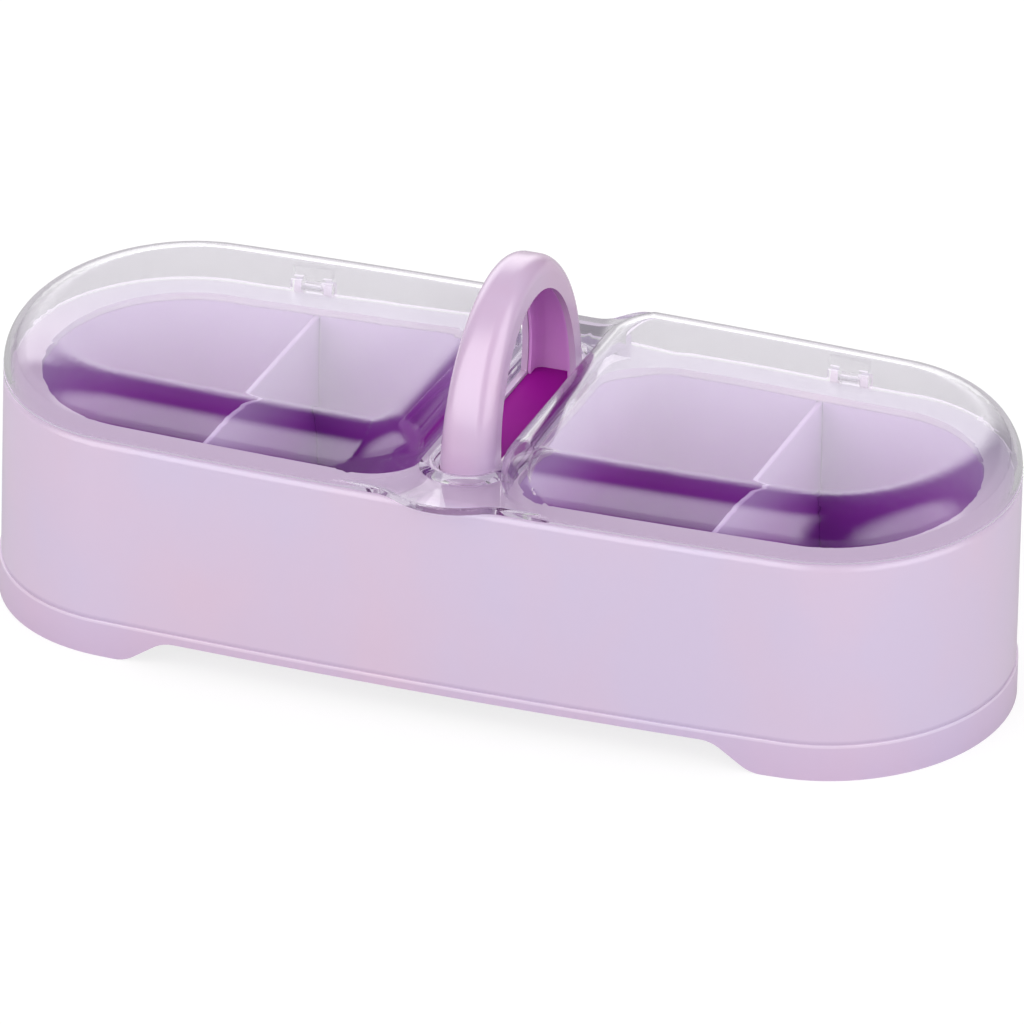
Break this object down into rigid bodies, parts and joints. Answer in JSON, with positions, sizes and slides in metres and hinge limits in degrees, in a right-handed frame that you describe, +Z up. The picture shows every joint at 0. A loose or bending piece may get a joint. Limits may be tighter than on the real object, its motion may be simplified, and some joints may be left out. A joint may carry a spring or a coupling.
{
  "type": "compartment spice box",
  "caption": "Long round-ended spice box: lilac base with stepped skirt, divided purple tubs, tall carry arch over a magenta plate, and a clear domed lid hinged at the back.",
  "frame": {"origin": "on the floor under the middle of the box's outline", "axes": "+X along the box to the right, +Y from the finger tab at the front to the hinges at the back, +Z up"},
  "size_m": [0.3314, 0.144, 0.1286],
  "materials": {
    "body_plastic": "pearly gloss",
    "tub_plastic": "gloss",
    "liner_plastic": "gloss",
    "plate_plastic": "satin",
    "clear_plastic": "clear gloss",
    "pin_steel": "plain drawn wire"
  },
  "bodies": {
    "box": {"base_shell": "body_plastic", "left_tub": "tub_plastic", "right_tub": "tub_plastic", "left_divider": "tub_plastic", "right_divider": "tub_plastic", "handle": "body_plastic", "handle_liner": "liner_plastic", "centre_plate": "plate_plastic", "left_hinge_pin": "pin_steel", "right_hinge_pin": "pin_steel"},
    "lid": {"lid": "clear_plastic"}
  },
  "joints": [
    {"name": "lid_hinge", "type": "hinge", "parent": "box", "child": "lid", "pos_m": [0, 0.06753, 0.0748], "axis": [-1, 0, 0], "range_deg": [0, 110]}
  ]
}
